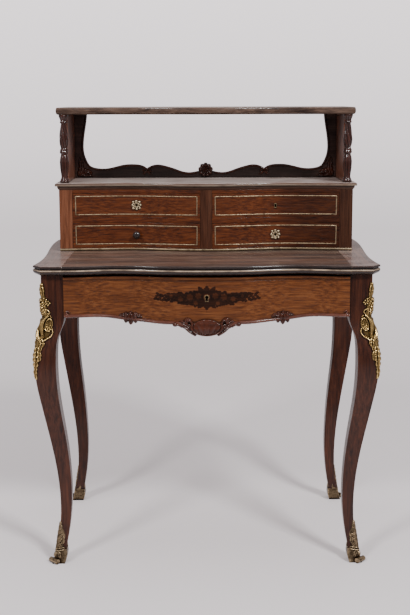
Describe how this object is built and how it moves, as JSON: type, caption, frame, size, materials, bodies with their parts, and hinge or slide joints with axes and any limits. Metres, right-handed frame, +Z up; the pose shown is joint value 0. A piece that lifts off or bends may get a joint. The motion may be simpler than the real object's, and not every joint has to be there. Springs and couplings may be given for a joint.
{
  "type": "bonheur du jour",
  "caption": "Serpentine writing desk on cabriole legs with gilt mounts, a sliding leaf, a frieze drawer and a low cabinet of small drawers under an open gallery.",
  "frame": {"origin": "on the floor, below the middle of the outline's box", "axes": "+X to the sitter's right, +Y to the back, +Z up; the front looks along -Y"},
  "size_m": [0.8272, 0.5501, 1.109],
  "materials": {
    "rosewood": "polished veneer",
    "dark_rosewood": "polished solid wood",
    "carved_rosewood": "carved and polished",
    "oak_lining": "plain, unpolished",
    "ebonised_wood": "turned and polished",
    "gilt_bronze": "cast, gilt and worn",
    "brass_inlay": "flush line, aged",
    "lock_brass": "aged"
  },
  "bodies": {
    "stand": {"apron_back": "oak_lining", "apron_left": "rosewood", "apron_right": "rosewood", "cabinet_back": "oak_lining", "cabinet_drawer_guides": "oak_lining", "cabinet_dust_boards": "oak_lining", "cabinet_floor": "oak_lining", "cabinet_foot_strip": "brass_inlay", "cabinet_partition": "oak_lining", "cabinet_rails": "rosewood", "cabinet_shelf": "rosewood", "cabinet_side_left": "rosewood", "cabinet_side_right": "rosewood", "cabinet_stiles": "rosewood", "chute_left": "gilt_bronze", "chute_right": "gilt_bronze", "drawer_runners": "oak_lining", "gallery_back": "rosewood", "gallery_column_left": "carved_rosewood", "gallery_column_right": "carved_rosewood", "gallery_rosette": "carved_rosewood", "gallery_side_left": "rosewood", "gallery_side_right": "rosewood", "gallery_top": "rosewood", "leaf_bearers": "oak_lining", "leg_front_left": "dark_rosewood", "leg_front_right": "dark_rosewood", "leg_rear_left": "dark_rosewood", "leg_rear_right": "dark_rosewood", "sabot_front_left": "gilt_bronze", "sabot_front_right": "gilt_bronze", "sabot_rear_left": "gilt_bronze", "sabot_rear_right": "gilt_bronze", "top_end_left": "rosewood", "top_end_right": "rosewood", "top_rear_rail": "rosewood"},
    "writing_leaf": {"writing_leaf": "rosewood"},
    "frieze_drawer": {"frieze_bead": "carved_rosewood", "frieze_cartouche": "carved_rosewood", "frieze_carved_leaves": "carved_rosewood", "frieze_drawer_bottom": "oak_lining", "frieze_drawer_front": "rosewood", "frieze_drawer_linings": "oak_lining", "frieze_lock": "lock_brass"},
    "upper_left_drawer": {"upper_left_drawer_box": "oak_lining", "upper_left_drawer_front": "rosewood", "upper_left_drawer_lock": "lock_brass", "upper_left_drawer_stringing": "brass_inlay"},
    "upper_right_drawer": {"upper_right_drawer_box": "oak_lining", "upper_right_drawer_front": "rosewood", "upper_right_drawer_lock": "lock_brass", "upper_right_drawer_stringing": "brass_inlay"},
    "lower_left_drawer": {"lower_left_drawer_box": "oak_lining", "lower_left_drawer_front": "rosewood", "lower_left_drawer_knob": "ebonised_wood", "lower_left_drawer_stringing": "brass_inlay"},
    "lower_right_drawer": {"lower_right_drawer_box": "oak_lining", "lower_right_drawer_front": "rosewood", "lower_right_drawer_lock": "lock_brass", "lower_right_drawer_stringing": "brass_inlay"}
  },
  "joints": [
    {"name": "frieze_drawer_slide", "type": "slide", "parent": "stand", "child": "frieze_drawer", "axis": [0, -1, 0], "range_m": [0, 0.26]},
    {"name": "writing_leaf_slide", "type": "slide", "parent": "stand", "child": "writing_leaf", "axis": [0, -1, 0], "range_m": [0, 0.18]},
    {"name": "upper_left_drawer_slide", "type": "slide", "parent": "stand", "child": "upper_left_drawer", "axis": [0, -1, 0], "range_m": [0, 0.15]},
    {"name": "upper_right_drawer_slide", "type": "slide", "parent": "stand", "child": "upper_right_drawer", "axis": [0, -1, 0], "range_m": [0, 0.15]},
    {"name": "lower_left_drawer_slide", "type": "slide", "parent": "stand", "child": "lower_left_drawer", "axis": [0, -1, 0], "range_m": [0, 0.15]},
    {"name": "lower_right_drawer_slide", "type": "slide", "parent": "stand", "child": "lower_right_drawer", "axis": [0, -1, 0], "range_m": [0, 0.15]}
  ]
}
